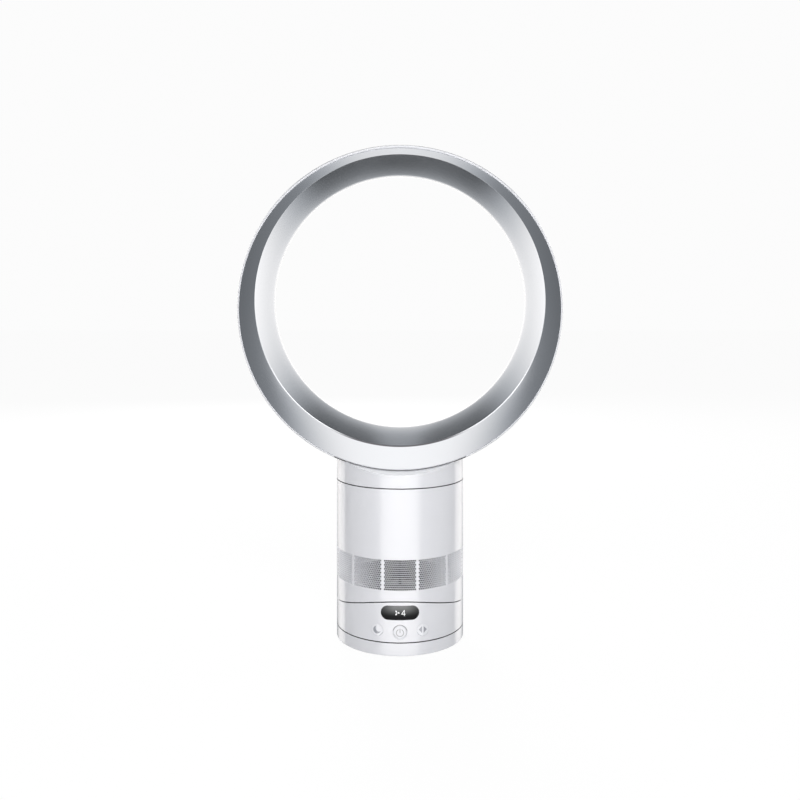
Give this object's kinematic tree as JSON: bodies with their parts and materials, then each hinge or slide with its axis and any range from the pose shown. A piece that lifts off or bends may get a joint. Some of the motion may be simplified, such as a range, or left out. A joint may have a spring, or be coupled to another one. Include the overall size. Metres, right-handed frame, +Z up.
{
  "type": "bladeless fan",
  "caption": "Bladeless desk fan: a round loop with an air slot on a cylindrical body that tilts on its foot section and swings from side to side.",
  "frame": {"origin": "centre of the rubber foot, on the surface that the fan stands on", "axes": "+Z up, front with the display and buttons towards -Y, +X to the right seen from the front"},
  "size_m": [0.3584, 0.144, 0.5501],
  "materials": {
    "white_plastic": "smooth gloss white",
    "silver_paint": "smooth silver grey paint",
    "window_black": "polished black window",
    "button_white": "satin white caps with grey symbols",
    "dark_rubber": "dark grey rubber",
    "black_plastic": "black moulded plastic",
    "grey_plastic": "light grey moulded plastic",
    "slide_plastic": "low-friction plastic",
    "steel": "bright steel",
    "copper": "enamelled copper wire",
    "circuit_board": "green circuit board",
    "foam": "open-cell acoustic foam"
  },
  "bodies": {
    "foot": {"foot_base": "white_plastic", "foot_pad": "dark_rubber", "foot_race": "steel", "foot_gear": "grey_plastic", "foot_screws": "steel", "pivot_clip": "steel", "power_inlet": "black_plastic"},
    "cage": {"ball_cage": "grey_plastic", "bearing_balls": "steel"},
    "control_section": {"turntable_plate": "grey_plastic", "turntable_race": "steel", "control_casing": "white_plastic", "display_window": "window_black", "display_module": "black_plastic", "display_board": "circuit_board", "control_board": "circuit_board", "tact_switches": "black_plastic", "power_board": "circuit_board", "board_components": "black_plastic", "oscillation_motor": "steel", "drive_screws": "steel", "tilt_cradle": "grey_plastic", "cradle_screws": "steel", "tilt_pads": "slide_plastic"},
    "pinion": {"drive_pinion": "slide_plastic", "drive_shaft": "steel"},
    "power_key": {"power_button": "button_white"},
    "sleep_timer_key": {"sleep_timer_button": "button_white"},
    "oscillation_key": {"oscillation_button": "button_white"},
    "main_body": {"main_casing": "white_plastic", "upper_tilt_plate": "grey_plastic", "tilt_keepers": "slide_plastic", "keeper_screws": "steel", "lower_foam": "foam", "inlet_seal": "dark_rubber", "rubber_mounts": "dark_rubber", "impeller_housing": "grey_plastic", "diffuser": "grey_plastic", "motor_bucket": "grey_plastic", "bucket_cap": "grey_plastic", "cap_foam": "foam", "motor_bearings": "steel", "motor_stator": "steel", "motor_coils": "copper", "motor_lead": "dark_rubber", "lead_grommets": "dark_rubber", "bayonet_ring": "grey_plastic"},
    "rotor": {"impeller": "slide_plastic", "motor_rotor": "steel", "motor_shaft": "steel"},
    "loop": {"loop_outer_casing": "white_plastic", "loop_inner_casing": "silver_paint", "slot_spacers": "black_plastic", "neck_collar": "white_plastic", "neck_duct": "grey_plastic", "neck_seal": "dark_rubber"}
  },
  "joints": [
    {"name": "oscillate", "type": "hinge", "parent": "foot", "child": "control_section", "pos_m": [0, 0, 0], "axis": [0, 0, 1], "range_deg": [-35, 35]},
    {"name": "cage_turn", "type": "hinge", "parent": "foot", "child": "cage", "pos_m": [0, 0, 0], "axis": [0, 0, 1], "range_deg": [-18, 18]},
    {"name": "pinion_spin", "type": "hinge", "parent": "control_section", "child": "pinion", "pos_m": [0, 0.034, 0], "axis": [0, 0, 1], "range_deg": [-114, 114]},
    {"name": "tilt", "type": "hinge", "parent": "control_section", "child": "main_body", "pos_m": [0, 0, 0.22105], "axis": [1, 0, 0], "range_deg": [-10, 10]},
    {"name": "loop_twist", "type": "hinge", "parent": "main_body", "child": "loop", "pos_m": [0, 0, 0.1793], "axis": [0, 0, 1], "range_deg": [0, 15]},
    {"name": "impeller_spin", "type": "hinge", "parent": "main_body", "child": "rotor", "pos_m": [0, 0, 0.154], "axis": [0, 0, 1], "continuous": true},
    {"name": "power_press", "type": "slide", "parent": "control_section", "child": "power_key", "axis": [0, 1, 0], "range_m": [0, 0.0008], "stiffness_N_per_m": 600},
    {"name": "sleep_timer_press", "type": "slide", "parent": "control_section", "child": "sleep_timer_key", "axis": [0, 1, 0], "range_m": [0, 0.0008], "stiffness_N_per_m": 600},
    {"name": "oscillation_press", "type": "slide", "parent": "control_section", "child": "oscillation_key", "axis": [0, 1, 0], "range_m": [0, 0.0008], "stiffness_N_per_m": 600}
  ],
  "couplings": [
    {"joint": "cage_turn", "follows": "oscillate", "ratio": 0.5},
    {"joint": "pinion_spin", "follows": "oscillate", "ratio": 3.25}
  ]
}
